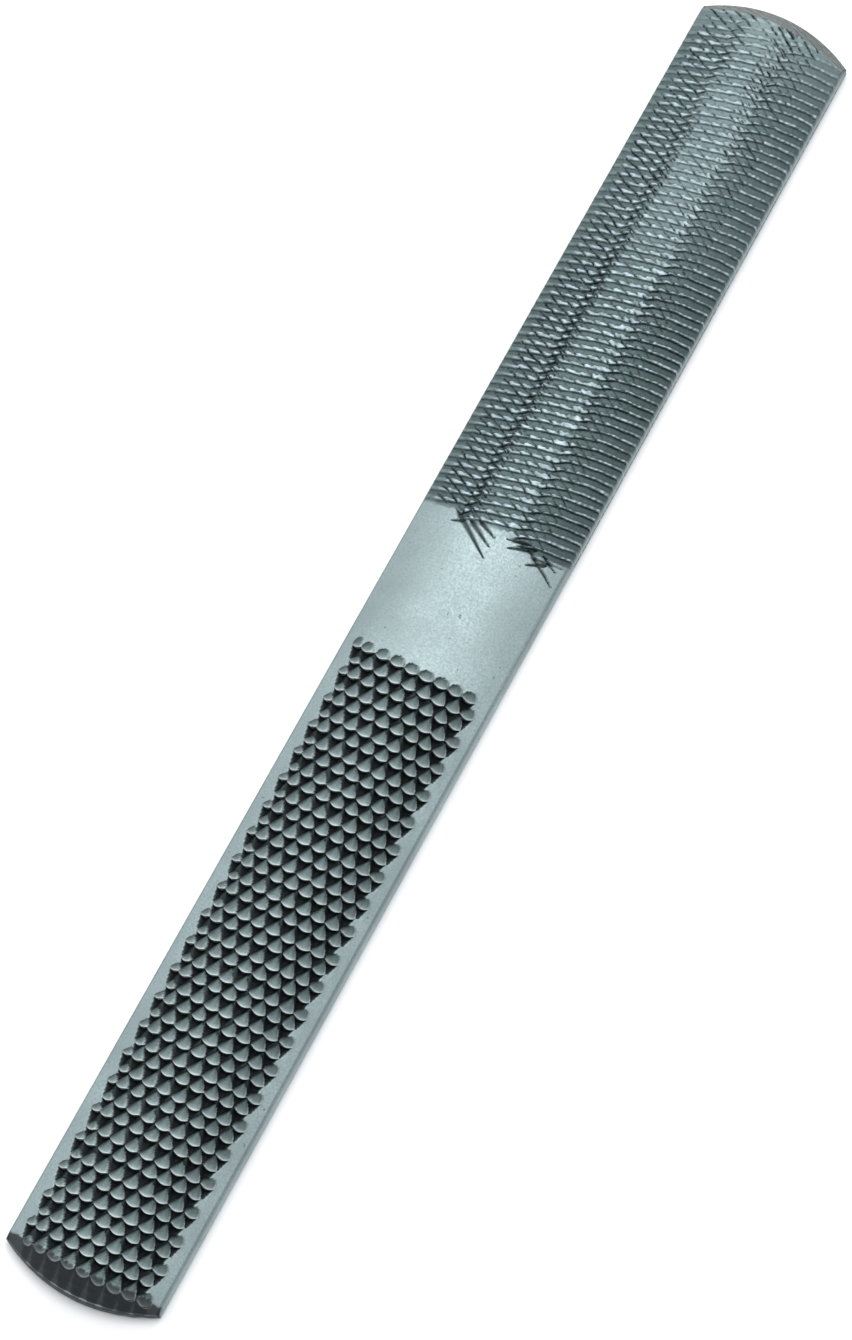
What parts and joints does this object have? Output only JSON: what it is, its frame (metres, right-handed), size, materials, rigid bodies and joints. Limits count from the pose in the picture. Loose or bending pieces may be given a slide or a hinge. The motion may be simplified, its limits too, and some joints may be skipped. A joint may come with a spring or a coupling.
{
  "type": "four-way half-round hand rasp",
  "caption": "Flat steel hand rasp, rounded on one side and flat on the other, each side cut as a file at one end and punched as a rasp at the other, with a plain band between.",
  "frame": {"origin": "middle of the bar, on the plane that the flat side's teeth rest on", "axes": "+Y along the bar towards the file end, +Z out of the crown of the rounded side, +X across the bar"},
  "size_m": [0.022, 0.203, 0.007],
  "materials": {
    "bar_steel": "blasted satin grey steel with a faint blue-green cast",
    "file_steel": "double-cut file teeth, bright on the edges and dark in the cuts",
    "rasp_steel": "punched rasp teeth, dark grey-green, bright on the edges"
  },
  "bodies": {
    "root": {"bar": "bar_steel", "round_file_teeth": "file_steel", "flat_file_teeth": "file_steel", "round_rasp_teeth": "rasp_steel", "flat_rasp_teeth": "rasp_steel"}
  },
  "joints": []
}
